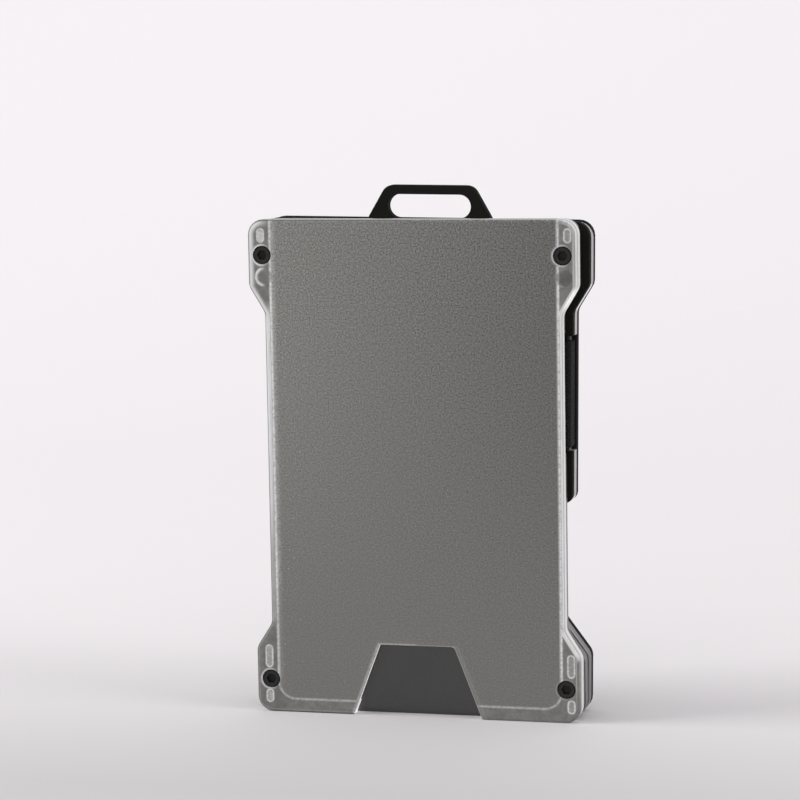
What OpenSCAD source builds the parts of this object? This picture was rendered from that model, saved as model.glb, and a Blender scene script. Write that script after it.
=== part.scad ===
// Slim two-plate card wallet, standing on its short edge.
// X runs across the width, Y from the frosted front to the back, Z up.
// Origin: foot of the chassis plate, at the middle of its width and of its thickness.

/* [Front plate] */
// Height of the front plate
plate_h = 93; // [84:0.5:102]
// Width across the corner ears
ear_w = 62; // [58:0.5:68]
// How far an ear steps out from the waist
ear_step = 3; // [2:0.1:4]
// Thickness of the front plate
plate_t = 3; // [2.8:0.1:4]
// Rounding of the front edge
edge_r = 0.55; // [0.2:0.05:0.7]
// Corner radius of the ears
ear_r = 2.9; // [2:0.1:4]
// Height of a top ear
top_ear_h = 12.4; // [12:0.1:14]
// Height of the slant under a top ear
top_slant_h = 5; // [3.5:0.1:7]
// Height of a bottom ear
low_ear_h = 12.3; // [11:0.1:14]
// Height of the slant over a bottom ear
low_slant_h = 4.7; // [3.5:0.1:6]
// Rounding where an ear meets its slant
slant_r = 2.6; // [1:0.1:3.2]

/* [Card pocket] */
// Wall left beside the pocket at the waist
pocket_wall = 0.85; // [0.6:0.05:1.2]
// Depth of the pocket in the back of the front plate
pocket_d = 1.1; // [0.9:0.05:1.3]
// Height of the rim under the pocket
pocket_z = 2.4; // [2:0.1:4]
// Corner radius at the foot of the pocket
pocket_r = 3.4; // [3:0.1:4]

/* [Thumb notch] */
// Width of the notch at the bottom edge
notch_low_w = 24.8; // [22:0.2:30]
// Width of the notch at its top
notch_top_w = 14.4; // [12:0.2:18]
// Height of the notch
notch_h = 13.6; // [10:0.2:18]
// Rounding of the notch's corners
notch_r = 0.9; // [0.8:0.1:1.5]

/* [Ear recesses] */
// Width of the oblong recesses
slot_w = 1.6; // [1.2:0.1:1.8]
// Distance of the oblong recesses from the ear's side
slot_in = 2.1; // [1.9:0.05:2.4]
// Depth of the recesses from the back
recess_d = 1.6; // [1.2:0.1:1.8]
// Distance of the recess over each top screw from the top edge
top_slot_drop = 3.1; // [2.8:0.1:3.4]
// Length of the recess over each top screw
top_slot_len = 2.8; // [2:0.1:3]
// Middle height of the recess over each bottom screw
mid_slot_z = 10.5; // [10.2:0.1:10.8]
// Length of the recess over each bottom screw
mid_slot_len = 4.5; // [3:0.1:4.6]
// Middle height of the recess under each bottom screw
low_slot_z = 2.9; // [2.6:0.1:3]
// Length of the recess under each bottom screw
low_slot_len = 2.7; // [2:0.1:2.8]
// Diameter of the round recess under each top screw
dot_d = 3.2; // [2.6:0.1:3.4]
// Distance of the round recess from the top edge
dot_drop = 10.8; // [10.4:0.1:11.4]

/* [Screws] */
// Shank diameter of all screws
shank_d = 1.6; // [1.4:0.1:1.8]
// Head diameter of the front socket screws
head_d = 3.2; // [2.8:0.1:3.3]
// Head height of the front socket screws
head_h = 1.4; // [1.2:0.05:1.5]
// Width across the flats of the hexagon socket
socket_w = 1.7; // [1.2:0.1:1.8]
// Depth of the hexagon socket
socket_d = 0.8; // [0.6:0.05:1]
// How far the front heads lie below the face
head_sink = 0.12; // [0:0.02:0.2]
// Distance of the ear screws from the ear's side
screw_in = 2.7; // [2.4:0.05:2.8]
// Distance of the top screws from the top edge
top_screw_drop = 6.6; // [6.2:0.1:7]
// Height of the bottom screws
low_screw_z = 6.3; // [6:0.1:6.6]
// Shank length of the top front screws
top_screw_len = 2.9; // [2.6:0.1:3]
// Shank length of the bottom front screws
low_screw_len = 5; // [4.4:0.1:5.4]
// Head diameter of the countersunk screws
flat_head_d = 2.8; // [2.4:0.1:3]
// Slot width of the countersunk screws
drive_w = 0.45; // [0.3:0.05:0.6]
// Slot depth of the countersunk screws
drive_d = 0.35; // [0.2:0.05:0.4]
// Share of the last plate's thickness that a countersunk screw reaches into
thread_share = 0.7; // [0.5:0.05:0.9]
// Room round a screw head
head_gap = 0.15; // [0.1:0.05:0.2]
// Room round a shank in a plain hole
hole_gap = 0.1; // [0.08:0.02:0.14]
// Room round a shank in a threaded hole
thread_gap = 0.03; // [0.02:0.01:0.05]

/* [Chassis plate] */
// Thickness of the chassis plate
chassis_t = 1.8; // [1.7:0.1:2.2]
// How far the chassis stands back from the front plate's outline
chassis_inset = 0.1; // [0.05:0.05:0.4]

/* [Card stop] */
// Thickness of the card stop
stop_t = 2.6; // [2.4:0.1:3]
// Height of the bar that the cards stand on
stop_bar_h = 5; // [4.5:0.1:6]
// Width of the card stop's ears
stop_ear_w = 3.6; // [3.4:0.1:4]

/* [Rear half] */
// How much lower the back plate ends than the front plate, without its loop
rear_drop = 0.8; // [0.2:0.1:1]
// How much lower the frame ends than the tray and the back plate
rear_step = 0.25; // [0.1:0.05:0.8]
// Gap between the card stop and the rear frame
card_gap = 0.6; // [0.4:0.1:1]
// Thickness of the tray plate
tray_t = 1.8; // [1.6:0.1:1.9]
// Thickness of the rear frame
frame_t = 2.2; // [2:0.1:2.6]
// Thickness of the back plate
back_t = 1.8; // [1.7:0.1:2.2]
// Bevel along the edges of the rear plates
bevel = 0.15; // [0.1:0.05:0.3]
// Height of a rear bottom ear
rear_ear_h = 11.4; // [10.5:0.1:12.3]
// Rise of the slant over a rear bottom ear, for each step inwards
rear_slant = 1.32; // [1.2:0.02:1.6]
// Depth of the side finger cut-outs
cut_d = 4.6; // [4.4:0.1:6]
// Height of the bridge between a finger cut-out and the strap
bridge_h = 10.65; // [8:0.05:12]
// Distance of the bridge's screws from the waist's side
bridge_screw_in = 4; // [3:0.1:6]
// How much lower the cut-outs end on the inside
cut_fall = 0.3; // [0.2:0.1:0.6]
// Rounding at the ends of the finger cut-outs
cut_r = 1.7; // [1:0.1:2]
// Angle by which the rear half has turned on its elastic
rear_turn = 0.75; // [0:0.05:0.9]
// How far the rear half has moved aside on its elastic
rear_shift = 0.1; // [0:0.05:0.3]

/* [Lanyard loop] */
// Width of the loop at its foot
loop_low_w = 23.6; // [22:0.2:30]
// Width of the loop across its top corners
loop_top_w = 16.6; // [16.4:0.2:20]
// Height of the loop above the back plate
loop_h = 6.1; // [6:0.1:7]
// Rounding of the loop's top corners
loop_r = 2.4; // [1.6:0.1:2.8]
// Length of the loop's slot
loop_slot_w = 15.8; // [12:0.2:16]
// Height of the loop's slot
loop_slot_h = 4.4; // [4.3:0.05:4.6]

/* [Elastic strap] */
// Width of the strap
strap_w = 19.6; // [18:0.1:22]
// Thickness of the strap
strap_t = 0.9; // [0.7:0.05:1]
// Distance of the strap from the slants above it
strap_drop = 5.35; // [4.5:0.05:6]
// Inner bend radius of the strap
strap_bend = 0.3; // [0.25:0.05:0.4]
// Room between the strap and the plates round it
strap_gap = 0.15; // [0.12:0.01:0.2]
// Room above and below the strap in its notches
strap_room = 0.95; // [0.6:0.05:1.1]
// Distance between the strap's two ends
strap_split = 12; // [8:1:20]

/* [Strap clamp] */
// Width of the clamp plate
clamp_w = 40; // [36:1:44]
// Thickness of the clamp plate
clamp_t = 0.8; // [0.7:0.05:0.85]
// How far the clamp reaches past the strap's channel
clamp_lip = 3.6; // [3.4:0.1:4]
// Corner radius of the clamp plate
clamp_r = 1.6; // [1:0.1:2]
// Distance of the clamp screws from the ends of the clamp
clamp_screw_in = 3; // [2.5:0.1:4]

/* [Bumpers] */
// Diameter of a rubber bumper
bumper_d = 3; // [2.6:0.1:3.2]
// How deep the upper bumpers sit in the chassis
bumper_seat = 0.4; // [0.3:0.05:0.6]
// Distance of the lower bumpers from the middle
low_bumper_x = 18; // [15:0.5:22]
// Room round a bumper in its seat
bumper_gap = 0.05; // [0.02:0.01:0.1]

/* [Hidden] */
$fn = 48;
corner_steps = 6;
edge_steps = 5;
over = 1;

// Planes of the stack, front to back
chassis_front = -chassis_t / 2;
chassis_back = chassis_t / 2;
face_y = chassis_front - plate_t;
stop_back = chassis_back + stop_t;
frame_front = stop_back + card_gap;
tray_front = frame_front - tray_t;
frame_back = frame_front + frame_t;
back_y = frame_back + back_t;

// Screw heads and the seats under them
head_y = face_y + head_sink;
seat_y = head_y + head_h;
flat_head_h = (flat_head_d - shank_d) / 2;
clamp_back = chassis_back + clamp_t;

// Outline of the front half, and what lies in its ears
ear_x = ear_w / 2;
waist_x = ear_x - ear_step;
top_ear_z = plate_h - top_ear_h;
top_slant_z = top_ear_z - top_slant_h;
screw_x = ear_x - screw_in;
top_screw_z = plate_h - top_screw_drop;

// The strap's channel, its runs, what they turn round and how far they climb from right to left
strap_z = top_slant_z - strap_drop - strap_w;
strap_front = chassis_back - strap_gap - strap_t;
strap_back = frame_front + strap_gap + strap_t;
strap_rise = 2 * waist_x * sin(rear_turn);
notch_low = strap_z - strap_room;
notch_tall = strap_w + 2 * strap_room;
notch_x = waist_x - strap_t - strap_gap;
channel_d = strap_t + 2 * strap_gap;
clamp_low = notch_low - clamp_lip;
clamp_tall = notch_tall + strap_rise + 2 * clamp_lip;
clamp_screw_x = clamp_w / 2 - clamp_screw_in;
clamp_screw_zs = [clamp_low + clamp_lip / 2, clamp_low + clamp_tall - clamp_lip / 2];

// Rear half: its outline, and how far it stands up to clear the ground as it is turned
rear_h = plate_h - rear_drop;
frame_h = rear_h - rear_step;
cut_x = waist_x - cut_d;
cut_low_z = rear_ear_h + rear_slant * (ear_x - cut_x);
cut_top_z = strap_z - bridge_h;
rear_lift = (ear_x - ear_r) * sin(rear_turn);

// Rear screws: the long ones in the top ears and in the bridges, the short ones in the bottom ears
bridge_screw_z = (cut_top_z + notch_low) / 2;
rear_screws_long = [[screw_x, top_screw_z], [waist_x - bridge_screw_in, bridge_screw_z]];
long_rear_len = back_t + frame_t + tray_t * thread_share;
short_rear_len = back_t + frame_t * thread_share;

// Bumpers: in the chassis's top ears, and along the bar of the card stop
bumper_h = tray_front - chassis_back + bumper_seat;
top_bumper_z = top_ear_z + bumper_d / 2;
low_bumper_z = stop_bar_h / 2;

function unit(v) = v / norm(v);
function turned(v, a) = [v[0] * cos(a) - v[1] * sin(a), v[0] * sin(a) + v[1] * cos(a)];

// One rounded corner b of an outline that comes from a and goes to c: points with their outward normals
function corner(a, b, c, r) =
    let (from = unit(b - a), to = unit(c - b))
    let (side = sign(from[0] * to[1] - from[1] * to[0]), bend = acos(from * to))
    let (out = [from[1], -from[0]], first = b - from * r * tan(bend / 2))
    let (centre = first - side * r * out)
    [for (k = [0 : corner_steps])
        let (n = turned(out, side * bend * k / corner_steps))
        [centre + side * r * n, n]];

// A closed outline, symmetric about Z, from its right side's corners [x, z, radius] going up
function outline(right) =
    let (left = [for (k = [len(right) - 1 : -1 : 0]) [-right[k][0], right[k][1], right[k][2]]])
    let (all = concat(right, left), n = len(all))
    let (at = [for (q = all) [q[0], q[1]]])
    [for (k = [0 : n - 1]) each corner(at[(k + n - 1) % n], at[k], at[(k + 1) % n], all[k][2])];

// Levels [y, inset] of a rounded edge that starts at y
function round_edge(y, r) =
    [for (k = [0 : edge_steps]) [y + r * (1 - cos(90 * k / edge_steps)), r * (1 - sin(90 * k / edge_steps))]];

// Levels of a plate with the same bevel along both faces
function bevelled(front, back) = [[front, bevel], [front + bevel, 0], [back - bevel, 0], [back, bevel]];

// Solid whose cross-section is the outline, drawn in by the inset of each level.
// The outline's right side climbs all the way, so strips from side to side close its two faces.
module lofted(path, levels) {
    n = len(path);
    last = len(levels) - 1;
    points = [for (l = levels) for (q = path) [q[0][0] - l[1] * q[1][0], l[0], q[0][1] - l[1] * q[1][1]]];
    sides = [for (i = [0 : last - 1]) for (k = [0 : n - 1])
        [i * n + k, i * n + (k + 1) % n, (i + 1) * n + (k + 1) % n, (i + 1) * n + k]];
    front = [for (k = [0 : n / 2 - 2]) [n - 1 - k, n - 2 - k, k + 1, k]];
    back = [for (q = front) [for (k = [3 : -1 : 0]) last * n + q[k]]];
    polyhedron(points = points, faces = concat(front, back, sides));
}

// Flat shape inside an outline, from its right side's corners
module flat(right) {
    polygon([for (q = outline(right)) q[0]]);
}

// Flat shape drawn in X and Z, as a slab between two planes
module slab(y0, y1) {
    translate([0, y1, 0]) rotate([90, 0, 0]) linear_extrude(y1 - y0) children();
}

// Round bar along +Y from y0 to y1
module rod(d, x, z, y0, y1) {
    translate([x, y0, z]) rotate([-90, 0, 0]) cylinder(d = d, h = y1 - y0);
}

// Oblong between two heights
module oblong(x, z0, z1, w) {
    translate([x, z0 + w / 2]) circle(d = w);
    translate([x, z1 - w / 2]) circle(d = w);
    translate([x - w / 2, z0 + w / 2]) square([w, z1 - z0 - w]);
}

// Rectangle with round corners
module soft_rect(x0, x1, y0, y1, r) {
    translate([x0 + r, y0]) square([x1 - x0 - 2 * r, y1 - y0]);
    translate([x0, y0 + r]) square([x1 - x0, y1 - y0 - 2 * r]);
    for (x = [x0 + r, x1 - r]) for (y = [y0 + r, y1 - r]) translate([x, y]) circle(r = r);
}

// The same thing on the left and on the right
module both_sides() {
    children();
    mirror([1, 0, 0]) children();
}

// The rear half as it stands on its elastic
module rear_place() {
    translate([rear_shift, 0, rear_lift]) rotate([0, rear_turn, 0]) children();
}

// Corners of the front half's outline, drawn in by an inset except at the foot
function front_corners(inset) = [
    [ear_x - inset, 0, ear_r],
    [ear_x - inset, low_ear_h, slant_r],
    [waist_x - inset, low_ear_h + low_slant_h, slant_r],
    [waist_x - inset, top_slant_z, slant_r],
    [ear_x - inset, top_ear_z, slant_r],
    [ear_x - inset, plate_h - inset, ear_r]];

// Corners of the rear half's outline up to a height, with the finger cut-outs
function rear_corners(h) = [
    [ear_x, 0, ear_r],
    [ear_x, rear_ear_h, slant_r],
    [cut_x, cut_low_z, cut_r],
    [cut_x, cut_top_z - cut_fall, cut_r],
    [waist_x, cut_top_z, cut_r],
    [waist_x, top_slant_z, slant_r],
    [ear_x, top_ear_z, slant_r],
    [ear_x, h, ear_r]];

// Notches in both sides of the tray and the frame, where the strap runs
module strap_notches() {
    both_sides() translate([notch_x, tray_front - over, notch_low])
        cube([ear_x, frame_back - tray_front + 2 * over, notch_tall]);
}

module front_plate() {
    color([0.8, 0.8, 0.78, 0.5]) difference() {
        lofted(outline(front_corners(0)), concat(round_edge(face_y, edge_r), [[chassis_front, 0]]));
        thumb_notch();
        card_pocket();
        both_sides() ear_recesses();
        for (z = [top_screw_z, low_screw_z]) both_sides() {
            rod(head_d + 2 * head_gap, screw_x, z, face_y - over, seat_y);
            rod(shank_d + 2 * hole_gap, screw_x, z, seat_y - over, chassis_front + over);
        }
    }
}

// Cut through the bottom edge, for a thumb to push the card up
module thumb_notch() {
    splay = (notch_low_w - notch_top_w) / 2 / notch_h * over;
    corners = [[notch_low_w / 2 + splay, -over, notch_r], [notch_top_w / 2, notch_h, notch_r]];
    slab(face_y - over, chassis_front + over) flat(corners);
}

// Pocket for one card, open at the top and closed by a round-cornered rim at its foot
module card_pocket() {
    slab(chassis_front - pocket_d, chassis_front + over) {
        x = waist_x - pocket_wall;
        translate([-x, pocket_z + pocket_r]) square([2 * x, plate_h]);
        soft_rect(-x, x, pocket_z, pocket_z + 3 * pocket_r, pocket_r);
    }
}

module ear_recesses() {
    slab(chassis_front - recess_d, chassis_front + over)
        for (s = [[plate_h - top_slot_drop, top_slot_len], [mid_slot_z, mid_slot_len], [low_slot_z, low_slot_len]])
            oblong(ear_x - slot_in, s[0] - s[1] / 2, s[0] + s[1] / 2, slot_w);
    rod(dot_d, screw_x, plate_h - dot_drop, chassis_front - recess_d, chassis_front + over);
}

module chassis_plate() {
    color([0.2, 0.2, 0.2]) difference() {
        slab(chassis_front, chassis_back) flat(front_corners(chassis_inset));
        translate([-ear_x, chassis_back - channel_d, notch_low])
            cube([ear_w, channel_d + over, notch_tall + strap_rise]);
        both_sides() {
            rod(shank_d + 2 * thread_gap, screw_x, top_screw_z, chassis_front - over, chassis_back + over);
            rod(shank_d + 2 * hole_gap, screw_x, low_screw_z, chassis_front - over, chassis_back + over);
            rod(bumper_d + 2 * bumper_gap, screw_x, top_bumper_z, tray_front - bumper_h, chassis_back + over);
            for (z = clamp_screw_zs)
                rod(shank_d + 2 * thread_gap, clamp_screw_x, z, chassis_front - over, chassis_back + over);
        }
    }
}

// Socket head screw pointing along +Y, with the top of its head at the origin
module socket_screw(len) {
    rotate([-90, 0, 0]) difference() {
        union() {
            cylinder(d1 = head_d - 2 * head_sink, d2 = head_d, h = head_sink);
            translate([0, 0, head_sink]) cylinder(d = head_d, h = head_h - head_sink);
            translate([0, 0, head_h]) cylinder(d = shank_d, h = len);
        }
        translate([0, 0, -over]) cylinder(d = socket_w / cos(30), h = socket_d + over, $fn = 6);
    }
}

// Countersunk screw pointing along +Z, with its flat head at the origin
module flat_screw(len) {
    difference() {
        union() {
            cylinder(d1 = flat_head_d, d2 = shank_d, h = flat_head_h);
            cylinder(d = shank_d, h = len);
        }
        translate([-flat_head_d, -drive_w / 2, -over]) cube([2 * flat_head_d, drive_w, drive_d + over]);
    }
}

// Countersunk hole along +Z for such a screw
module flat_hole(len, gap) {
    translate([0, 0, -over]) cylinder(d = flat_head_d + 2 * head_gap, h = over);
    cylinder(d1 = flat_head_d + 2 * head_gap, d2 = shank_d, h = flat_head_h + head_gap);
    cylinder(d = shank_d + 2 * gap, h = len);
}

// Puts what points along +Z at the back of the part, pointing to the front
module from_back(x, y, z) {
    translate([x, y, z]) rotate([90, 0, 0]) children();
}

module upper_screws() {
    color([0.1, 0.1, 0.1]) both_sides() translate([screw_x, head_y, top_screw_z]) socket_screw(top_screw_len);
}

module lower_screws() {
    color([0.1, 0.1, 0.1]) both_sides() translate([screw_x, head_y, low_screw_z]) socket_screw(low_screw_len);
}

module card_stop() {
    x = ear_x - stop_ear_w;
    inner = [[x, rear_ear_h + rear_slant * stop_ear_w, bevel * 2], [x, stop_bar_h, cut_r]];
    color([0.55, 0.55, 0.54]) difference() {
        slab(chassis_back, stop_back) flat(concat([[ear_x, 0, ear_r], [ear_x, rear_ear_h, slant_r]], inner));
        both_sides() {
            rod(shank_d + 2 * thread_gap, screw_x, low_screw_z, chassis_back - over,
                seat_y + low_screw_len + thread_gap);
            rod(bumper_d + 2 * bumper_gap, low_bumper_x, low_bumper_z, frame_front - bumper_h, stop_back + over);
        }
    }
}

module bumpers() {
    color([0.06, 0.06, 0.06]) {
        both_sides() rod(bumper_d, screw_x, top_bumper_z, tray_front - bumper_h, tray_front);
        both_sides() rod(bumper_d, low_bumper_x, low_bumper_z, frame_front - bumper_h, frame_front);
    }
}

module strap_clamp() {
    x = clamp_w / 2;
    color([0.15, 0.15, 0.15]) difference() {
        slab(chassis_back, clamp_back) soft_rect(-x, x, clamp_low, clamp_low + clamp_tall, clamp_r);
        both_sides() for (z = clamp_screw_zs)
            from_back(clamp_screw_x, clamp_back, z) flat_hole(clamp_t + over, hole_gap);
    }
}

module clamp_screws() {
    color([0.35, 0.35, 0.35]) both_sides() for (z = clamp_screw_zs)
        from_back(clamp_screw_x, clamp_back, z) flat_screw(clamp_t + chassis_t * thread_share);
}

// Elastic band: behind the tray, along both sides and into the chassis, where its two ends are clamped
module strap() {
    x = waist_x;
    color([0.09, 0.09, 0.09]) rear_place() translate([0, 0, strap_z]) linear_extrude(strap_w) difference() {
        soft_rect(-x, x, strap_front, strap_back, strap_bend + strap_t);
        soft_rect(-x + strap_t, x - strap_t, strap_front + strap_t, strap_back - strap_t, strap_bend);
        translate([-strap_split / 2, strap_front - over]) square([strap_split, strap_t + 2 * over]);
    }
}

module tray_plate() {
    path = outline([[waist_x, cut_top_z, cut_r], [waist_x, top_slant_z, slant_r],
        [ear_x, top_ear_z, slant_r], [ear_x, rear_h, ear_r]]);
    color([0.09, 0.09, 0.09]) rear_place() difference() {
        lofted(path, bevelled(tray_front, frame_front));
        strap_notches();
        both_sides() for (p = rear_screws_long)
            rod(shank_d + 2 * thread_gap, p[0], p[1], back_y - long_rear_len - thread_gap, frame_front + over);
    }
}

module rear_frame() {
    color([0.66, 0.66, 0.65]) rear_place() difference() {
        lofted(outline(rear_corners(frame_h)), bevelled(frame_front, frame_back));
        strap_notches();
        translate([-waist_x, frame_front - over, notch_low]) cube([2 * waist_x, channel_d + over, notch_tall]);
        both_sides() {
            for (p = rear_screws_long)
                rod(shank_d + 2 * hole_gap, p[0], p[1], frame_front - over, frame_back + over);
            rod(shank_d + 2 * thread_gap, screw_x, low_screw_z, back_y - short_rear_len - thread_gap,
                frame_back + over);
        }
    }
}

module back_plate() {
    root = loop_slot_h / 2;
    splay = (loop_low_w - loop_top_w) / 2 / loop_h * root;
    loop = [[loop_low_w / 2 + splay, rear_h - root, cut_r], [loop_top_w / 2, rear_h + loop_h, loop_r]];
    slot_mid = rear_h + loop_slot_h / 2;
    color([0.09, 0.09, 0.09]) rear_place() difference() {
        union() {
            lofted(outline(rear_corners(rear_h)), bevelled(frame_back, back_y));
            lofted(outline(loop), bevelled(frame_back, back_y));
        }
        slab(frame_back - over, back_y + over) translate([0, slot_mid]) rotate(90)
            oblong(0, -loop_slot_w / 2, loop_slot_w / 2, loop_slot_h);
        both_sides() {
            for (p = rear_screws_long) from_back(p[0], back_y, p[1]) flat_hole(back_t + over, hole_gap);
            from_back(screw_x, back_y, low_screw_z) flat_hole(back_t + over, hole_gap);
        }
    }
}

module long_rear_screws() {
    color([0.1, 0.1, 0.1]) rear_place() both_sides() for (p = rear_screws_long)
        from_back(p[0], back_y, p[1]) flat_screw(long_rear_len);
}

module short_rear_screws() {
    color([0.1, 0.1, 0.1]) rear_place() both_sides()
        from_back(screw_x, back_y, low_screw_z) flat_screw(short_rear_len);
}

front_plate();
chassis_plate();
upper_screws();
lower_screws();
card_stop();
strap_clamp();
clamp_screws();
bumpers();
strap();
tray_plate();
rear_frame();
back_plate();
long_rear_screws();
short_rear_screws();
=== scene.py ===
import math
from types import SimpleNamespace

import bpy
import numpy as np
from mathutils import Matrix, Vector


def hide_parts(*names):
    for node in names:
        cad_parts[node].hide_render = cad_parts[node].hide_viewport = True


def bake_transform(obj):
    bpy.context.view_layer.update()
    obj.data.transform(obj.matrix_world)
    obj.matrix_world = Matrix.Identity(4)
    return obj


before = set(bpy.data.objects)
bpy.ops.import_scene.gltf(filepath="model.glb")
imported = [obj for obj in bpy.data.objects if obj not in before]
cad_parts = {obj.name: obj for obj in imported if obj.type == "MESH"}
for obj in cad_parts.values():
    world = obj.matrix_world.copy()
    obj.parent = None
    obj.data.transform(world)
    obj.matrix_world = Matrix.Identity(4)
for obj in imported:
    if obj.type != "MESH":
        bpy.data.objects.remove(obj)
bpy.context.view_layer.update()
scene = bpy.context.scene
print("frame loaded:", len(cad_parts), "nodes")


# small helpers for shader trees

def put(tree, kind, inputs=None, **settings):
    node = tree.nodes.new(kind)
    for key, value in settings.items():
        setattr(node, key, value)
    for key, value in (inputs or {}).items():
        if isinstance(value, bpy.types.NodeSocket):
            tree.links.new(value, node.inputs[key])
        else:
            node.inputs[key].default_value = value
    return node


def calc(tree, operation, a, b=0.0, c=0.0):
    return put(tree, "ShaderNodeMath", {0: a, 1: b, 2: c}, operation=operation).outputs[0]


def plus(tree, a, b):
    return calc(tree, "ADD", a, b)


def less(tree, a, b):
    return calc(tree, "SUBTRACT", a, b)


def times(tree, *factors):
    whole = factors[0]
    for factor in factors[1:]:
        whole = calc(tree, "MULTIPLY", whole, factor)
    return whole


def strongest(tree, masks):
    whole = masks[0]
    for mask in masks[1:]:
        whole = calc(tree, "MAXIMUM", whole, mask)
    return whole


def level(tree, share, low, high):  # low at a share of 0, high at 1
    return calc(tree, "MULTIPLY_ADD", share, high - low, low)


def ramp(tree, value, low, high):  # 0 up to low, 1 from high on, smooth between; low may be the larger
    node = put(tree, "ShaderNodeMapRange", {"Value": value, "From Min": low, "From Max": high},
               interpolation_type="SMOOTHSTEP")
    return node.outputs["Result"]


def straightRamp(tree, value, low, high):  # as ramp, but even between
    node = put(tree, "ShaderNodeMapRange", {"Value": value, "From Min": low, "From Max": high})
    return node.outputs["Result"]


def window(tree, value, span):  # rises over the first two of span's four values, falls over the last two
    return times(tree, ramp(tree, value, span[0], span[1]), ramp(tree, value, span[3], span[2]))


def blendColour(tree, share, first, second):
    return put(tree, "ShaderNodeMix", {0: share, 6: first, 7: second}, data_type="RGBA").outputs[2]


def scaleVector(tree, vector, factor):
    return put(tree, "ShaderNodeVectorMath", {0: vector, 3: factor}, operation="SCALE").outputs[0]


def splitVector(tree, vector):
    return put(tree, "ShaderNodeSeparateXYZ", {0: vector}).outputs


def lengthOf(tree, a, b):  # the hypotenuse of a and b
    return calc(tree, "SQRT", plus(tree, times(tree, a, a), times(tree, b, b)))


def ownPlace(tree):  # the piece's own coordinates, in metres
    return put(tree, "ShaderNodeTexCoord").outputs["Object"]


def millimetres(tree):
    return scaleVector(tree, ownPlace(tree), 1000.0)


def faceNormal(tree):
    return put(tree, "ShaderNodeNewGeometry").outputs["Normal"]


def noise(tree, place, scale, detail, roughness=0.5):
    return put(tree, "ShaderNodeTexNoise", {"Vector": place, "Scale": scale, "Detail": detail,
                                            "Roughness": roughness}).outputs["Fac"]


def raiseBumps(tree, shader, height, strength, depth):
    bump = put(tree, "ShaderNodeBump", {"Height": height, "Strength": strength, "Distance": depth})
    tree.links.new(bump.outputs["Normal"], shader.inputs["Normal"])


def newGroup(name, inputs, outputs):
    tree = bpy.data.node_groups.new(name, "ShaderNodeTree")
    for label, start in inputs.items():
        socket = tree.interface.new_socket(name=label, in_out="INPUT", socket_type="NodeSocketFloat")
        socket.default_value = start
    for label in outputs:
        tree.interface.new_socket(name=label, in_out="OUTPUT", socket_type="NodeSocketFloat")
    return tree, tree.nodes.new("NodeGroupInput"), tree.nodes.new("NodeGroupOutput")


def groupNode(tree, group, values):
    node = tree.nodes.new("ShaderNodeGroup")
    node.node_tree = group
    for key, value in values.items():
        node.inputs[key].default_value = value
    return node


def newMaterial(name, sockets):
    material = bpy.data.materials.new(name)
    material.use_nodes = True
    tree = material.node_tree
    tree.nodes.clear()
    shader = put(tree, "ShaderNodeBsdfPrincipled", sockets)
    out = put(tree, "ShaderNodeOutputMaterial")
    tree.links.new(shader.outputs[0], out.inputs["Surface"])
    return material, tree, shader


def dress(material, *names):
    for name in names:
        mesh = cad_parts[name].data
        mesh.materials.clear()
        mesh.materials.append(material)


# shared effects

grainSpec = {"detail": 3.0, "roughness": 0.65, "cloudScale": 0.09, "cloudDetail": 2.0, "cloudShare": 0.35}
wearSpec = {"samples": 6, "lean": (0.995, 0.8), "patchScale": 0.6, "patchDetail": 4.0, "patch": (0.35, 0.65)}


def makeGrain(spec):  # fine blasted grain: a shade about 1, and a height for bump
    tree, start, end = newGroup("blastedGrain", {"Size": 0.3, "Contrast": 0.2}, ["Shade", "Height"])
    place = millimetres(tree)
    scale = calc(tree, "DIVIDE", 1.0, start.outputs["Size"])
    fine = noise(tree, place, scale, spec["detail"], spec["roughness"])
    cloud = noise(tree, place, spec["cloudScale"], spec["cloudDetail"])
    swing = plus(tree, less(tree, fine, 0.5), times(tree, less(tree, cloud, 0.5), spec["cloudShare"]))
    shade = plus(tree, 1.0, times(tree, swing, start.outputs["Contrast"]))
    tree.links.new(shade, end.inputs["Shade"])
    tree.links.new(fine, end.inputs["Height"])
    return tree


def makeWear(spec):  # 1 on worn edges: how far a rounded normal leans off the flat one, broken up by noise
    tree, start, end = newGroup("edgeWear", {"Reach": 0.00025, "Amount": 0.6}, ["Mask"])
    rounded = put(tree, "ShaderNodeBevel", {"Radius": start.outputs["Reach"]}, samples=spec["samples"])
    lean = put(tree, "ShaderNodeVectorMath", {0: rounded.outputs["Normal"], 1: faceNormal(tree)},
               operation="DOT_PRODUCT").outputs["Value"]
    patchy = noise(tree, millimetres(tree), spec["patchScale"], spec["patchDetail"])
    broken = times(tree, ramp(tree, lean, *spec["lean"]), ramp(tree, patchy, *spec["patch"]))
    tree.links.new(times(tree, broken, start.outputs["Amount"]), end.inputs["Mask"])
    return tree


grainGroup = makeGrain(grainSpec)
wearGroup = makeWear(wearSpec)
print("shared effects made")


# anodised and bare metals; a finish may name a painted shade for its foot and a painted lighter tone for
# faces that slant down

metalShading = {"footFade": (10.0, 34.0), "slantFade": (-0.2, -0.45), "bumpDepth": 0.00003}


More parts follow.
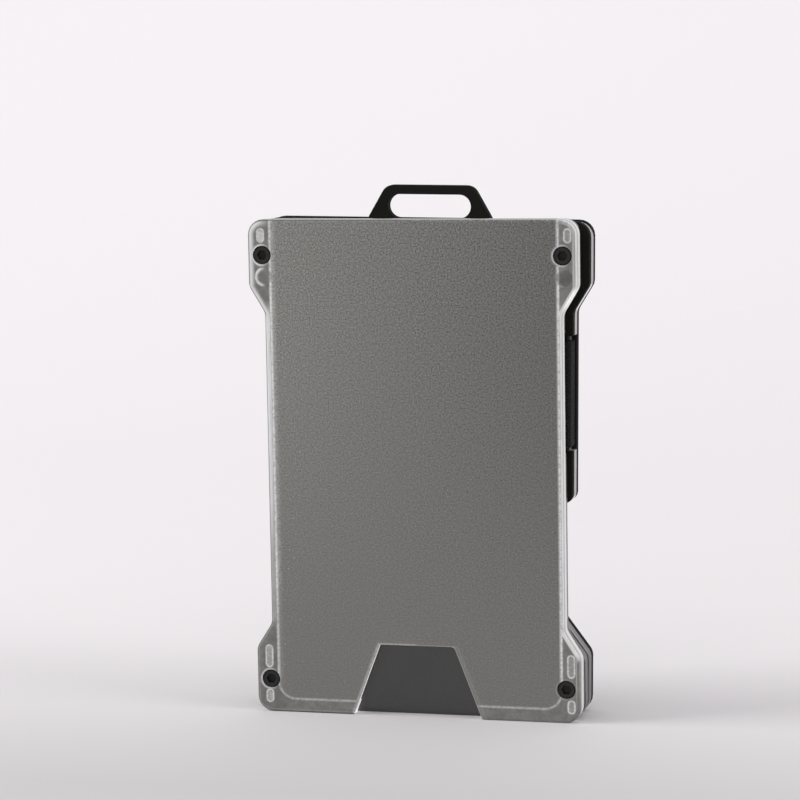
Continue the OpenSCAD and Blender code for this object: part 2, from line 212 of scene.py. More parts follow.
def makeMetal(name, spec):
    material, tree, shader = newMaterial(name, {"Metallic": spec["metallic"],
                                                "Specular IOR Level": spec["gloss"]})
    grain = groupNode(tree, grainGroup, {"Size": spec["grainSize"], "Contrast": spec["contrast"]})
    wear = groupNode(tree, wearGroup, {"Reach": spec["wearReach"], "Amount": spec["wear"]})
    # painted shade darkens the foot by the finish's foot tone; painted light lightens faces that slant down
    # by its slant tone
    raised = ramp(tree, splitVector(tree, millimetres(tree))[2], *metalShading["footFade"])
    slanted = ramp(tree, splitVector(tree, faceNormal(tree))[2], *metalShading["slantFade"])
    tone = times(tree, grain.outputs["Shade"], level(tree, raised, spec.get("paintedFootTone", 1.0), 1.0),
                 level(tree, slanted, 1.0, spec.get("paintedSlantTone", 1.0)))
    body = scaleVector(tree, spec["colour"][:3], tone)
    colour = blendColour(tree, wear.outputs["Mask"], body, spec["wornColour"])
    tree.links.new(colour, shader.inputs["Base Color"])
    tree.links.new(times(tree, spec["roughness"], grain.outputs["Shade"]), shader.inputs["Roughness"])
    raiseBumps(tree, shader, grain.outputs["Height"], spec["bump"], metalShading["bumpDepth"])
    return material


charcoalFinish = {"colour": (0.1, 0.1, 0.098, 1), "wornColour": (0.16, 0.16, 0.16, 1), "metallic": 1.0,
                  "gloss": 0.5, "roughness": 0.3, "grainSize": 0.22, "contrast": 0.5, "bump": 0.2,
                  "wearReach": 0.0002, "wear": 0.3}
stopFinish = {"colour": (0.13, 0.13, 0.128, 1), "wornColour": (0.2, 0.2, 0.2, 1), "metallic": 1.0,
              "gloss": 0.5, "roughness": 0.3, "grainSize": 0.22, "contrast": 0.5, "bump": 0.2,
              "wearReach": 0.0002, "wear": 0.3}
# the satin frame: painted shade at its foot, and a painted lighter tone on faces that slant down
bareFinish = {"colour": (0.51, 0.51, 0.5, 1), "wornColour": (0.55, 0.55, 0.54, 1), "metallic": 1.0,
              "gloss": 0.5, "roughness": 0.55, "grainSize": 0.25, "contrast": 0.35, "bump": 0.2,
              "wearReach": 0.0002, "wear": 0.15, "paintedFootTone": 0.48, "paintedSlantTone": 1.8}
blackFinish = {"colour": (0.0148, 0.0146, 0.0136, 1), "wornColour": (0.02, 0.02, 0.02, 1), "metallic": 0.0,
               "gloss": 0.03, "roughness": 0.7, "grainSize": 0.22, "contrast": 0.8, "bump": 0.2,
               "wearReach": 0.00012, "wear": 0.3}
oxideFinish = {"colour": (0.024, 0.024, 0.024, 1), "wornColour": (0.06, 0.06, 0.06, 1), "metallic": 0.1,
               "gloss": 0.2, "roughness": 0.5, "grainSize": 0.15, "contrast": 0.6, "bump": 0.15,
               "wearReach": 0.0001, "wear": 0.3}
steelFinish = {"colour": (0.4, 0.4, 0.4, 1), "wornColour": (0.6, 0.6, 0.6, 1), "metallic": 1.0,
               "gloss": 0.5, "roughness": 0.35, "grainSize": 0.15, "contrast": 0.4, "bump": 0.15,
               "wearReach": 0.0001, "wear": 0.3}
rubberFinish = {"colour": (0.015, 0.015, 0.015, 1), "wornColour": (0.05, 0.05, 0.05, 1), "metallic": 0.0,
                "gloss": 0.3, "roughness": 0.8, "grainSize": 0.2, "contrast": 0.6, "bump": 0.4,
                "wearReach": 0.0002, "wear": 0.3}

dress(makeMetal("charcoalAnodised", charcoalFinish), "chassis_plate")
dress(makeMetal("greyAnodised", stopFinish), "card_stop")
dress(makeMetal("satinAluminium", bareFinish), "rear_frame")
dress(makeMetal("blackAnodised", blackFinish), "tray_plate", "back_plate")
dress(makeMetal("blackOxide", oxideFinish), "upper_screws", "lower_screws", "strap_clamp",
      "long_rear_screws", "short_rear_screws")
dress(makeMetal("plainSteel", steelFinish), "clamp_screws")
dress(makeMetal("blackRubber", rubberFinish), "bumpers")
print("metals and rubber dressed")


# frosted front plate, in millimetres; its marks are painted highlights where walls, edges and recesses catch
# the light
# shine: how white a mark is, as a pair its weakest and strongest; low: the share of it left near the foot
# line: how wide it fades below and above its middle; a value before these is how far inside it lies
# span: fades in over two values and out over two; other pairs of marks and sides fade in from first to second

plateSpec = {
    # sizes, as in the solid; only the slots' radius is smaller, so that their marks stay inside them
    "halfWidth": 31.0, "height": 93.0, "corner": 2.9, "waist": 28.0, "frontY": -3.9,
    "lowSlant": (12.3, 17.0), "topSlant": (75.6, 80.6),
    "pocketHalf": 27.15, "pocketFoot": 2.4, "pocketCorner": 3.4,
    "notchFoot": 12.4, "notchTop": 7.2, "notchHeight": 13.6,
    "screwX": 28.3, "dotHeight": 82.2, "dotRadius": 1.6, "slotX": 28.9, "slotRadius": 0.62,
    "slots": ({"height": 89.9, "halfRun": 0.6, "leftShine": 0.7},
              {"height": 10.5, "halfRun": 1.45, "leftShine": 0.4},
              {"height": 2.9, "halfRun": 0.55, "leftShine": 0.4}),
    "bores": ({"height": 86.4, "radius": 1.75, "leftShine": 0.9, "rightShine": 0.55},
              {"height": 6.3, "radius": 1.75, "leftShine": 0.6, "rightShine": 0.1}),

    # colours and surface; pale is the white of the painted highlights, rim the grey of painted shade, and the
    # side greys turn white towards the back as painted light
    "panel": (0.22, 0.2185, 0.205, 1), "ear": (0.225, 0.2235, 0.214, 1), "pale": (0.96, 0.96, 0.95, 1),
    "sideFront": (0.55, 0.55, 0.54, 1), "sideBack": (0.95, 0.95, 0.94, 1), "rim": (0.15, 0.15, 0.146, 1),
    "ledColour": (1.0, 1.0, 0.99), "transmission": 0.2, "refraction": 1.5, "gloss": 0.4, "roughness": 0.5,
    "grainSize": 0.3, "contrast": 0.5, "bump": 0.3, "bumpDepth": 0.00003,

    # what every mark shares: halves of the plate, how far marks on its back are seen aside, and two noises
    "seenShift": (0.36, 0.16), "rightHand": (-0.5, 0.5), "raised": (20.0, 26.0),
    "beadSize": 0.45, "bead": (0.32, 0.62), "streakScale": (3.0, 1.0, 0.22), "streak": (0.3, 0.65),
    "noiseDetail": 2.0,

    "pocketMarks": {
        "rise": (3.9, 7.4), "topFade": (85.0, 81.0), "topShine": 0.8, "beadShine": 0.62,
        "offDot": (-0.3, 0.1), "wallLine": (0.6, 0.35), "wallLow": 0.7,
        "footLine": (0.42, 0.34), "footShine": (0.25, 0.5),
        "glowLine": (1.4, 0.3), "glowShine": (0.1, 0.4), "glowLow": 0.4,
        "waistStart": (0.0, 0.3), "waistSpan": (15.5, 18.5, 74.5, 78.0), "waistShine": 0.72,
        "waistFade": (60.0, 25.0), "waistLow": 0.35,
        "speckSize": 0.3, "speck": (0.77, 0.85), "speckReach": (-12.0, -1.0), "speckShine": (0.15, 0.4),
    },
    "edgeMarks": {
        "aboveFoot": (1.5, 8.0), "flank": (26.5, 29.5), "belowTop": (92.0, 91.0),
        "leftLine": (0.5, 1.0, 0.35), "leftShine": 0.9, "leftRise": (20.0, 45.0), "leftLow": 0.04,
        "lowLine": (0.45, 0.25, 0.2), "lowShine": 0.12,
        "topSlantSpan": (74.0, 76.0, 80.0, 82.0), "lowSlantSpan": (11.0, 13.0, 16.5, 19.0),
        "slantStart": (-0.95, -0.6), "slantShine": 0.8,
        "rightLine": (0.75, 0.18, 0.15), "rightLineShine": 0.4,
        "bandStart": (-0.95, -0.75), "bandShine": (0.25, 0.55),
        "rightStart": (-0.45, -0.25), "rightShine": 0.8, "rightLow": 0.15,
        "rimStart": (-0.3, -0.16),
    },
    "notchMarks": {
        "belowTop": (0.4, 0.0), "leftStart": (0.6, 0.0), "leftShine": (0.25, 0.45),
        "rightLine": (-0.6, 0.5, 0.6), "rightShine": 0.07,
        "topStart": (0.25, 0.0), "topReach": (0.3, 0.0), "topShine": 0.25,
    },
    "recessMarks": {
        "slotLine": (0.35, 0.28), "slotLineShine": (0.6, 0.9),
        "slotFill": (0.1, -0.25), "slotRightShine": 0.22, "slotFillShine": (0.6, 1.0),
        "dotLine": (0.6, 0.35), "dotTurn": (-0.5, 0.9), "dotRightShine": 0.2, "dotShine": 0.75,
        "boreReach": (0.5, 0.1), "boreTurn": (-1.6, 0.6),
    },
    "bodyTones": {
        # slope, the painted light after it and speckleGain are from foot to top, mottle and beadMottle from
        # dark to light; slope and the light after it are painted light, brightest at the upper left; inDot
        # and lowEar are painted shade
        "slopeRise": (0.0, 0.8), "slope": (-0.0003, -0.0094), "paintedLight": (-0.02, 0.04),
        "speckle": 3.2, "speckleGain": (0.36, 1.15), "speckleRight": 1.15,
        "blotchSize": 1.2, "blotchDetail": 4.0, "blotch": (0.32, 0.68), "mottle": (0.88, 1.12),
        "beadMottle": (0.95, 1.07), "inDot": (0.1, -0.2), "dotTone": 0.66,
        "lowEar": (-24.0, -26.0), "lowEarTone": 0.86, "pocketBlend": (-0.1, 0.1),
    },
    "sideTones": {
        "turned": (-0.45, -0.15), "white": (0.9, 1.7), "leftward": (-0.5, -0.8), "leftShadeDepth": (0.62, 0.5),
        "notchReach": (0.5, 0.2), "foot": (0.6, 0.1), "paintedFootTone": 1.3,
    },
    "ledLight": {
        "wallDepth": (0.6, 1.0), "wall": 0.45,
        "slantStart": (-0.5, -0.25), "slantSpan": (75.0, 78.5, 79.4, 81.0), "slant": 0.36,
    },
}


def lineAt(tree, distance, inner, outer):  # 1 at distance 0, fading over inner below it and outer above it
    return times(tree, ramp(tree, distance, -inner, 0.0), ramp(tree, distance, outer, 0.0))


def lineInside(tree, distance, off, inner, outer):  # the same, at a distance of off inside
    return lineAt(tree, plus(tree, distance, off), inner, outer)


def capsuleDistance(tree, across, up, halfRun, radius):  # to a round-ended slot along the height
    over = calc(tree, "MAXIMUM", less(tree, calc(tree, "ABSOLUTE", up), halfRun), 0.0)
    return less(tree, lengthOf(tree, across, over), radius)


def cornerDistance(tree, across, up, radius):  # to a rounded corner, both sides radius off its centre
    outside = lengthOf(tree, calc(tree, "MAXIMUM", across, 0.0), calc(tree, "MAXIMUM", up, 0.0))
    inside = calc(tree, "MINIMUM", calc(tree, "MAXIMUM", across, up), 0.0)
    return less(tree, plus(tree, outside, inside), radius)


def pocketDistance(tree, spec, ax, z):  # open at the top, rounded at its two lower corners
    corner = spec["pocketCorner"]
    return cornerDistance(tree, less(tree, ax, spec["pocketHalf"] - corner),
                          less(tree, spec["pocketFoot"] + corner, z), corner)


def outlineDistance(tree, spec, ax, z):  # rounded ears, and a waist that meets them in slants
    corner, halfHeight = spec["corner"], spec["height"] / 2
    offMiddle = calc(tree, "ABSOLUTE", less(tree, z, halfHeight))
    ears = cornerDistance(tree, less(tree, ax, spec["halfWidth"] - corner),
                          less(tree, offMiddle, halfHeight - corner), corner)
    inEars = plus(tree, straightRamp(tree, z, *spec["lowSlant"][::-1]),
                  straightRamp(tree, z, *spec["topSlant"]))
    reach = times(tree, inEars, spec["halfWidth"] - spec["waist"])
    return calc(tree, "MAXIMUM", ears, less(tree, less(tree, ax, spec["waist"]), reach))


def notchDistance(tree, spec, ax, z):  # to its slanted sides, and to its flat top
    lean = (spec["notchFoot"] - spec["notchTop"]) / spec["notchHeight"]
    side = less(tree, ax, less(tree, spec["notchFoot"], times(tree, z, lean)))
    return side, less(tree, z, spec["notchHeight"])


def plateFields(tree, spec):  # places, halves, noises and distances that the marks are worked out from
    at = SimpleNamespace(place=millimetres(tree))
    at.x, at.y, at.z = splitVector(tree, at.place)
    at.ax = calc(tree, "ABSOLUTE", at.x)
    at.seenAx = calc(tree, "ABSOLUTE", less(tree, at.x, spec["seenShift"][0]))
    at.seenZ = less(tree, at.z, spec["seenShift"][1])
    at.right = ramp(tree, at.x, *spec["rightHand"])
    at.left = less(tree, 1.0, at.right)
    at.raised = ramp(tree, at.z, *spec["raised"])
    at.lowLeft = times(tree, at.left, less(tree, 1.0, at.raised))
    beads = noise(tree, at.place, 1 / spec["beadSize"], spec["noiseDetail"])
    at.bead = ramp(tree, beads, *spec["bead"])
    drawn = put(tree, "ShaderNodeMapping", {"Vector": at.place, "Scale": spec["streakScale"]}).outputs[0]
    at.streak = ramp(tree, noise(tree, drawn, 1.0, spec["noiseDetail"]), *spec["streak"])
    at.pocket = pocketDistance(tree, spec, at.seenAx, at.seenZ)
    at.dot = capsuleDistance(tree, less(tree, at.seenAx, spec["screwX"]),
                             less(tree, at.seenZ, spec["dotHeight"]), 0.0, spec["dotRadius"])
    at.outline = outlineDistance(tree, spec, at.ax, at.z)
    at.notchSide, at.notchTop = notchDistance(tree, spec, at.ax, at.z)
    return at


def pocketMarks(tree, mark, at):  # painted highlights: side walls shine, the foot less so; painted light where the waist lets light through, and painted glints as specks
    along = ramp(tree, at.seenZ, *mark["rise"])
    wall = times(tree, lineAt(tree, at.pocket, *mark["wallLine"]), along,
                 level(tree, ramp(tree, at.seenZ, *mark["topFade"]), mark["topShine"], 1.0),
                 level(tree, at.bead, mark["beadShine"], 1.0), ramp(tree, at.dot, *mark["offDot"]),
                 level(tree, at.lowLeft, 1.0, mark["wallLow"]))
    foot = times(tree, lineAt(tree, at.pocket, *mark["footLine"]), level(tree, at.bead, *mark["footShine"]))
    glow = times(tree, lineAt(tree, at.pocket, *mark["glowLine"]), along, at.left,
                 level(tree, at.bead, *mark["glowShine"]), level(tree, at.lowLeft, 1.0, mark["glowLow"]))
    lowered = times(tree, at.left, ramp(tree, at.z, *mark["waistFade"]))
    waist = times(tree, ramp(tree, at.pocket, *mark["waistStart"]), window(tree, at.z, mark["waistSpan"]),
                  level(tree, at.streak, mark["waistShine"], 1.0),
                  level(tree, lowered, 1.0, mark["waistLow"]))
    sparks = noise(tree, at.place, 1 / mark["speckSize"], 0.0)
    specks = times(tree, ramp(tree, sparks, *mark["speck"]), ramp(tree, at.pocket, *mark["speckReach"]),
                   level(tree, at.left, *mark["speckShine"]))
    return [wall, foot, glow, waist, specks]


def edgeMarks(tree, mark, at):  # painted highlights: white at the upper left where the rounding starts, white bands on the right
    flank = calc(tree, "MAXIMUM", ramp(tree, at.ax, *mark["flank"]), ramp(tree, at.z, *mark["belowTop"]))
    upper = times(tree, ramp(tree, at.z, *mark["aboveFoot"]), flank)
    upperRight = times(tree, at.right, upper)
    leftLine = times(tree, lineInside(tree, at.outline, *mark["leftLine"]), at.left, upper,
                     level(tree, at.streak, mark["leftShine"], 1.0),
                     level(tree, ramp(tree, at.z, *mark["leftRise"]), mark["leftLow"], 1.0))
    lowLine = times(tree, lineInside(tree, at.outline, *mark["lowLine"]), at.lowLeft, mark["lowShine"])
    onSlant = calc(tree, "MAXIMUM", window(tree, at.z, mark["topSlantSpan"]),
                   window(tree, at.z, mark["lowSlantSpan"]))
    slants = times(tree, ramp(tree, at.outline, *mark["slantStart"]), onSlant, at.right,
                   level(tree, at.streak, mark["slantShine"], 1.0))
    rightLine = times(tree, lineInside(tree, at.outline, *mark["rightLine"]), upperRight,
                      mark["rightLineShine"])
    band = times(tree, ramp(tree, at.outline, *mark["bandStart"]), upperRight, at.raised,
                 level(tree, at.streak, *mark["bandShine"]))
    rightEdge = times(tree, ramp(tree, at.outline, *mark["rightStart"]), upperRight,
                      level(tree, at.streak, mark["rightShine"], 1.0),
                      level(tree, at.raised, mark["rightLow"], 1.0))
    return [leftLine, lowLine, slants, rightLine, band, rightEdge]


def notchMarks(tree, mark, at):  # painted highlights: the left side shines, the right side and the top only faintly
    belowTop = ramp(tree, at.notchTop, *mark["belowTop"])
    leftSide = times(tree, ramp(tree, at.notchSide, *mark["leftStart"]), at.left, belowTop,
                     level(tree, at.bead, *mark["leftShine"]))
    rightSide = times(tree, lineInside(tree, at.notchSide, *mark["rightLine"]), at.right, belowTop,
                      mark["rightShine"])
    topEdge = times(tree, ramp(tree, at.notchTop, *mark["topStart"]),
                    ramp(tree, at.notchSide, *mark["topReach"]), mark["topShine"])
    return [leftSide, rightSide, topEdge]


def recessMarks(tree, spec, at):  # painted highlights on slots of the ears; dots and bores, brighter on their left
    mark = spec["recessMarks"]
    facing = level(tree, at.right, 1.0, -1.0)  # 1 on the left half, -1 on the right
    marks = []
    slotAcross = less(tree, at.seenAx, spec["slotX"])
    for slot in spec["slots"]:
        edge = capsuleDistance(tree, slotAcross, less(tree, at.seenZ, slot["height"]), slot["halfRun"],
                               spec["slotRadius"])
        marks.append(times(tree, lineAt(tree, edge, *mark["slotLine"]),
                           level(tree, at.bead, *mark["slotLineShine"])))
        marks.append(times(tree, ramp(tree, edge, *mark["slotFill"]),
                           level(tree, at.left, mark["slotRightShine"], slot["leftShine"]),
                           level(tree, at.bead, *mark["slotFillShine"])))
    dotTurn = times(tree, less(tree, at.seenAx, spec["screwX"]), facing)
    marks.append(times(tree, lineAt(tree, at.dot, *mark["dotLine"]), ramp(tree, dotTurn, *mark["dotTurn"]),
                       level(tree, at.left, mark["dotRightShine"], 1.0),
                       level(tree, at.bead, mark["dotShine"], 1.0)))
    boreAcross = less(tree, at.ax, spec["screwX"])
    boreTurn = times(tree, boreAcross, facing)
    for bore in spec["bores"]:
        ring = capsuleDistance(tree, boreAcross, less(tree, at.z, bore["height"]), 0.0, bore["radius"])
        marks.append(times(tree, ramp(tree, ring, *mark["boreReach"]),
                           ramp(tree, boreTurn, *mark["boreTurn"]),
                           level(tree, at.right, bore["leftShine"], bore["rightShine"])))
    return marks


def bodyColour(tree, spec, at, grain):  # grain over painted light, brightest at the upper left; mottled ears, with painted shade in the right dot and on the lower left ear
    tone = spec["bodyTones"]
    height = straightRamp(tree, at.z, 0.0, spec["height"])
    # painted light: lighter on the left, more so towards the top, and a little lighter towards the top
    # overall
    slope = times(tree, at.x, level(tree, ramp(tree, height, *tone["slopeRise"]), *tone["slope"]))
    paintedLight = plus(tree, plus(tree, 1.0, slope), level(tree, height, *tone["paintedLight"]))
    swing = times(tree, less(tree, grain.outputs["Height"], 0.5), tone["speckle"],
                  level(tree, height, *tone["speckleGain"]),
                  level(tree, at.right, 1.0, tone["speckleRight"]))
    panel = scaleVector(tree, spec["panel"][:3], times(tree, paintedLight, plus(tree, swing, 1.0)))
    blotches = noise(tree, at.place, 1 / tone["blotchSize"], tone["blotchDetail"])
    # painted shade: darker inside the right dot and on the lower left ear
    inDot = times(tree, ramp(tree, at.dot, *tone["inDot"]), at.right)
    lowEar = times(tree, at.lowLeft, ramp(tree, at.x, *tone["lowEar"]))
    mottle = times(tree, level(tree, ramp(tree, blotches, *tone["blotch"]), *tone["mottle"]),
                   level(tree, at.bead, *tone["beadMottle"]), level(tree, inDot, 1.0, tone["dotTone"]),
                   level(tree, lowEar, 1.0, tone["lowEarTone"]))
    ear = scaleVector(tree, spec["ear"][:3], mottle)
    return blendColour(tree, ramp(tree, at.pocket, *tone["pocketBlend"]), panel, ear)


def makeFrosted(spec):
    material, tree, shader = newMaterial("frostedPlastic", {
        "Transmission Weight": spec["transmission"], "IOR": spec["refraction"],
        "Specular IOR Level": spec["gloss"], "Emission Strength": 1.0})
    at = plateFields(tree, spec)
    grain = groupNode(tree, grainGroup, {"Size": spec["grainSize"], "Contrast": spec["contrast"]})

    # front: body, painted highlights, and a thin rim of painted shade on the left
    marks = (pocketMarks(tree, spec["pocketMarks"], at) + edgeMarks(tree, spec["edgeMarks"], at)
             + notchMarks(tree, spec["notchMarks"], at) + recessMarks(tree, spec, at))
    marked = blendColour(tree, strongest(tree, marks), bodyColour(tree, spec, at, grain), spec["pale"])
    rim = times(tree, ramp(tree, at.outline, *spec["edgeMarks"]["rimStart"]), at.left)
    front = blendColour(tree, rim, marked, spec["rim"])

    # rounded edge and sides: grey where the rounding ends, white towards the back and in the notch, as
    # painted light; on the left, painted shade in the rim's grey
    tone = spec["sideTones"]
    nx, ny = splitVector(tree, faceNormal(tree))[:2]
    turned = ramp(tree, ny, *tone["turned"])
    depth = less(tree, at.y, spec["frontY"])
    inNotch = times(tree, ramp(tree, at.notchSide, *tone["notchReach"]),
                    ramp(tree, at.notchTop, *tone["notchReach"]))
    # painted shade: left-facing sides near the front, outside the notch, take the rim's grey
    paintedLeftShade = times(tree, ramp(tree, nx, *tone["leftward"]), ramp(tree, depth, *tone["leftShadeDepth"]),
                 less(tree, 1.0, inNotch))
    sides = blendColour(tree, ramp(tree, depth, *tone["white"]), spec["sideFront"], spec["sideBack"])
    whole = blendColour(tree, turned, front, blendColour(tree, paintedLeftShade, sides, spec["rim"]))
    # painted light: the rounding at the foot is lightened
    paintedFootTone = level(tree, ramp(tree, at.z, *tone["foot"]), 1.0, tone["paintedFootTone"])
    tree.links.new(scaleVector(tree, whole, paintedFootTone), shader.inputs["Base Color"])

    # painted glow: emission stands in for light led through the plate, leaving by the left wall of the notch
    # and by the upper right slant
    led = spec["ledLight"]
    wallLight = times(tree, inNotch, at.left, turned, ramp(tree, depth, *led["wallDepth"]), led["wall"])
    slantLight = times(tree, ramp(tree, at.outline, *led["slantStart"]), at.right,
                       window(tree, at.z, led["slantSpan"]), led["slant"])
    light = scaleVector(tree, spec["ledColour"], plus(tree, wallLight, slantLight))
    tree.links.new(light, shader.inputs["Emission Color"])

    tree.links.new(times(tree, spec["roughness"], grain.outputs["Shade"]), shader.inputs["Roughness"])
    raiseBumps(tree, shader, grain.outputs["Height"], spec["bump"], spec["bumpDepth"])
    return material


dress(makeFrosted(plateSpec), "front_plate")
print("front plate dressed")


# woven elastic strap round the tray, in metres; picks, wales and fibres of its weave in millimetres

strapSpec = {
    "width": 0.0196, "thick": 0.0009, "foot": 0.05065, "halfSpan": 0.028,
    "frontY": -0.00015, "backY": 0.00515, "bend": 0.0012, "split": 0.012,
    "turn": math.radians(0.75), "lift": 0.000368, "aside": 0.0001,
    "ribs": 28, "pointsPerRib": 4, "ribDepth": 0.00006, "edgeRound": 0.0003, "edgePoints": 5,
    "stationsPerBend": 8, "stationStep": 0.0006,
}


def strapPath(spec):
    # the middle of the band seen from above: a rounded rectangle, walked from one cut end in front,
    # round the back, to the other, as points with their outward normals
    half, radius = spec["halfSpan"] - spec["thick"] / 2, spec["bend"] - spec["thick"] / 2
    front, back = spec["frontY"] + spec["thick"] / 2, spec["backY"] - spec["thick"] / 2
    corners = [(half - radius, front + radius, -90), (half - radius, back - radius, 0),
               (radius - half, back - radius, 90), (radius - half, front + radius, 180)]
    points, normals = [[(spec["split"] / 2, front)]], [[(0.0, -1.0)]]
    for x, y, start in corners:
        angle = np.radians(start + np.linspace(0, 90, spec["stationsPerBend"] + 1))
        facing = np.stack([np.cos(angle), np.sin(angle)], 1)
        points.append(np.array((x, y)) + radius * facing)
        normals.append(facing)
    points.append([(-spec["split"] / 2, front)])
    normals.append([(0.0, -1.0)])
    points, normals = np.concatenate(points), np.concatenate(normals)
    # straight runs get stations of their own, by length along the path
    along = np.concatenate([[0.0], np.cumsum(np.linalg.norm(np.diff(points, axis=0), axis=1))])
    stations = np.union1d(along, np.arange(0.0, along[-1], spec["stationStep"]))
    place = np.stack([np.interp(stations, along, points[:, k]) for k in (0, 1)], 1)
    facing = np.stack([np.interp(stations, along, normals[:, k]) for k in (0, 1)], 1)
    return stations, place, facing / np.linalg.norm(facing, axis=1, keepdims=True)


def strapProfile(spec):
    # the band cut across: two ribbed faces joined by round edges, as offsets off the middle and heights
    count = spec["ribs"] * spec["pointsPerRib"] + 1
    foot, top = spec["edgeRound"], spec["width"] - spec["edgeRound"]
    rise = np.linspace(foot, top, count)
    groove = spec["ribDepth"] * (0.5 - 0.5 * np.cos(2 * np.pi * spec["ribs"] * np.linspace(0, 1, count)))
    face = spec["thick"] / 2 - groove
    turn = np.linspace(0, np.pi, spec["edgePoints"] + 2)[1:-1]
    capOffset, capRise = spec["thick"] / 2 * np.cos(turn), spec["edgeRound"] * np.sin(turn)
    offset = np.concatenate([face, capOffset, -face[::-1], -capOffset])
    height = np.concatenate([rise, top + capRise, rise[::-1], foot - capRise])
    return offset, height


def makeStrap(spec):
    # the profile carried along the path; the band hangs with the rear half, turned a little and moved aside
    stations, place, facing = strapPath(spec)
    offset, height = strapProfile(spec)
    rows, columns = len(stations), len(offset)
    x = place[:, None, 0] + facing[:, None, 0] * offset
    y = place[:, None, 1] + facing[:, None, 1] * offset
    z = np.broadcast_to(spec["foot"] + height, x.shape)
    c, s = math.cos(spec["turn"]), math.sin(spec["turn"])
    points = np.stack([x * c + z * s + spec["aside"], y, z * c - x * s + spec["lift"]], 2).reshape(-1, 3)
    i, j = np.meshgrid(np.arange(rows - 1), np.arange(columns), indexing="ij")
    k = (j + 1) % columns
    quads = np.stack([i * columns + j, i * columns + k, (i + 1) * columns + k, (i + 1) * columns + j], 2)
    caps = [list(range(columns))[::-1], list(range((rows - 1) * columns, rows * columns))]
    mesh = bpy.data.meshes.new("wovenStrap")
    mesh.from_pydata(points.tolist(), [], quads.reshape(-1, 4).tolist() + caps)
    # the weave follows the band: U runs along it and V across it, in metres
    flatMap = mesh.uv_layers.new(name="band")
    corner = np.zeros(len(mesh.loops), int)
    mesh.loops.foreach_get("vertex_index", corner)
    flat = np.stack([np.repeat(stations, columns), np.tile(height, rows)], 1)
    flatMap.data.foreach_set("uv", flat[corner].astype(np.float32).ravel())
    mesh.polygons.foreach_set("use_smooth", np.ones(len(mesh.polygons), bool))
    mesh.update()
    strap = bpy.data.objects.new("wovenStrap", mesh)
    scene.collection.objects.link(strap)
    return strap, float(stations[-1])


webbingSpec = {"colour": (0.006, 0.006, 0.006, 1), "thread": (0.02, 0.02, 0.0195, 1),
               "pick": 0.55, "wale": 1.4, "threadStart": (0.35, 0.9),
               "fibreScale": 5.0, "fibreDetail": 3.0, "fibre": (0.35, 0.65),
               "roughness": 0.85, "threadPolish": 0.15, "gloss": 0.08, "sheen": 0.03, "bump": 0.8,
               "bumpDepth": 0.0001}


def makeWebbing(spec):  # herringbone twill: slanted picks that change side at every wale
    material, tree, shader = newMaterial("elasticWebbing", {"Specular IOR Level": spec["gloss"],
                                                            "Sheen Weight": spec["sheen"]})
    band = put(tree, "ShaderNodeUVMap", uv_map="band").outputs[0]
    along, across = splitVector(tree, scaleVector(tree, band, 1000.0))[:2]
    zigzag = calc(tree, "PINGPONG", across, spec["wale"] / 2)
    phase = times(tree, plus(tree, along, zigzag), 2 * math.pi / spec["pick"])
    wave = level(tree, calc(tree, "SINE", phase), 0.5, 1.0)
    fibre = noise(tree, millimetres(tree), spec["fibreScale"], spec["fibreDetail"])
    thread = times(tree, ramp(tree, wave, *spec["threadStart"]), ramp(tree, fibre, *spec["fibre"]))
    tree.links.new(blendColour(tree, thread, spec["colour"], spec["thread"]), shader.inputs["Base Color"])
    rough = level(tree, thread, spec["roughness"], spec["roughness"] - spec["threadPolish"])
    tree.links.new(rough, shader.inputs["Roughness"])
    raiseBumps(tree, shader, wave, spec["bump"], spec["bumpDepth"])
    return material


strap, strapLength = makeStrap(strapSpec)
strap.data.materials.append(makeWebbing(webbingSpec))
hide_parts("strap")
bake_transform(strap)
print("strap made, length", round(strapLength, 4))


# floor and backdrop: one sweep, straight in front, curved up behind; tones are depths with their greys, with
# painted shade darkening the floor towards the front

stageSpec = {"halfWidth": 1.6, "front": -1.3, "bendStart": 0.3, "bendRadius": 0.5, "top": 1.6,
             "floorSteps": 19, "bendSteps": 24,
             "tones": ((-0.06, 0.605), (0.0, 0.725), (0.05, 0.8), (0.12, 0.835), (0.3, 0.88), (0.42, 0.9),
                       (0.65, 0.96)),
             "tint": (1.0, 0.975, 0.99), "roughness": 0.9, "gloss": 0.1}


def makeSweep(spec):  # a profile in depth and height, carried across the width
    angle = np.linspace(0, np.pi / 2, spec["bendSteps"])
    floor = np.linspace(spec["front"], spec["bendStart"], spec["floorSteps"] + 1)[:-1]
    depth = np.concatenate([floor, spec["bendStart"] + spec["bendRadius"] * np.sin(angle),
                            [spec["bendStart"] + spec["bendRadius"]]])
    height = np.concatenate([np.zeros(len(floor)), spec["bendRadius"] * (1 - np.cos(angle)), [spec["top"]]])
    count = len(depth)
    left = np.stack([np.full(count, -spec["halfWidth"]), depth, height], 1)
    right = left * np.array((-1, 1, 1))
    i = np.arange(count - 1)
    faces = np.stack([i, i + count, i + count + 1, i + 1], 1)
    mesh = bpy.data.meshes.new("paleSweep")
    mesh.from_pydata(np.concatenate([left, right]).tolist(), [], faces.tolist())
    mesh.polygons.foreach_set("use_smooth", np.ones(len(mesh.polygons), bool))
    sweep = bpy.data.objects.new("paleSweep", mesh)
    scene.collection.objects.link(sweep)
    return sweep


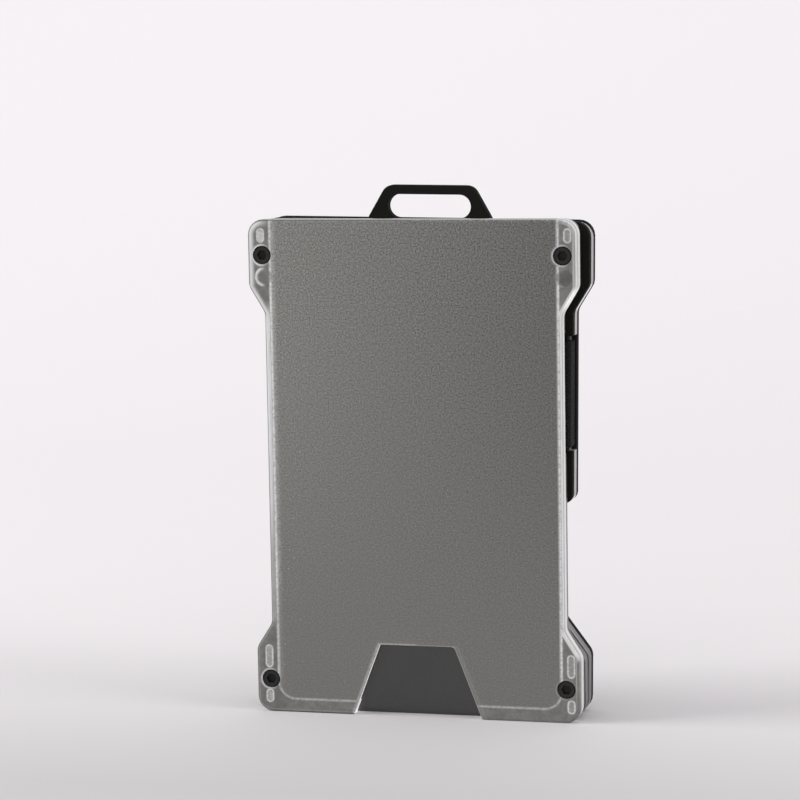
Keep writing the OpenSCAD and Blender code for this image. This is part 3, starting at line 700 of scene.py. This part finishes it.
def makePaper(spec):  # greys along the depth, painted shade darker towards the front
    material, tree, shader = newMaterial("palePaper", {"Roughness": spec["roughness"],
                                                       "Specular IOR Level": spec["gloss"]})
    first, last = spec["tones"][0][0], spec["tones"][-1][0]
    share = straightRamp(tree, splitVector(tree, ownPlace(tree))[1], first, last)
    greys = put(tree, "ShaderNodeValToRGB", {0: share})
    stops = greys.color_ramp.elements
    while len(stops) < len(spec["tones"]):
        stops.new(0.5)
    for stop, (place, tone) in zip(stops, spec["tones"]):
        stop.position = (place - first) / (last - first)
        stop.color = (*[tone * part for part in spec["tint"]], 1)
    tree.links.new(greys.outputs[0], shader.inputs["Base Color"])
    return material


sweep = makeSweep(stageSpec)
sweep.data.materials.append(makePaper(stageSpec))
print("stage made")


# soft light from both sides, and an even sky

lightSpec = {
    "left": {"towards": (-0.96, -0.28), "lift": 27, "distance": 1.1, "size": 0.5, "spread": 130,
             "power": 3.5},
    "right": {"towards": (0.98, -0.19), "lift": 28, "distance": 1.1, "size": 0.5, "spread": 130,
              "power": 1.7},
}
skySpec = {"colour": (0.97, 0.96, 0.97, 1), "strength": 0.69}
aim = Vector((0.0, 0.0, 0.045))


def makeSoftbox(name, spec):
    lift = math.radians(spec["lift"])
    direction = Vector((*spec["towards"], 0)).normalized() * math.cos(lift)
    direction.z = math.sin(lift)
    lamp = bpy.data.lights.new(name, "AREA")
    lamp.size, lamp.energy, lamp.spread = spec["size"], spec["power"], math.radians(spec["spread"])
    softbox = bpy.data.objects.new(name, lamp)
    softbox.location = aim + direction * spec["distance"]
    softbox.rotation_mode = "QUATERNION"
    softbox.rotation_quaternion = (-direction).to_track_quat("-Z", "Y")
    scene.collection.objects.link(softbox)


for name, spec in lightSpec.items():
    makeSoftbox(name + "Softbox", spec)
world = bpy.data.worlds.new("softSky")
world.use_nodes = True
sky = world.node_tree.nodes["Background"]
sky.inputs["Color"].default_value = skySpec["colour"]
sky.inputs["Strength"].default_value = skySpec["strength"]
scene.world = world
print("lights made")


# camera fitted to the photograph

cameraSpec = {"lens": 132.03, "sensor": 36.0, "clip": (0.01, 20.0), "place": (0.12801, -0.52421, 0.12915),
              "right": (0.9704, 0.2409, -0.0166), "up": (-0.0149, 0.1286, 0.9916)}


def makeCamera(spec):
    right, up = Vector(spec["right"]).normalized(), Vector(spec["up"]).normalized()
    back = right.cross(up).normalized()
    camera = bpy.data.cameras.new("photoCamera")
    camera.lens, camera.sensor_width, camera.sensor_fit = spec["lens"], spec["sensor"], "HORIZONTAL"
    camera.clip_start, camera.clip_end = spec["clip"]
    viewer = bpy.data.objects.new("photoCamera", camera)
    viewer.matrix_world = Matrix((right, back.cross(right), back)).transposed().to_4x4()
    viewer.location = spec["place"]
    scene.collection.objects.link(viewer)
    return viewer


scene.camera = makeCamera(cameraSpec)
scene.view_settings.view_transform = "Standard"
print("camera placed")
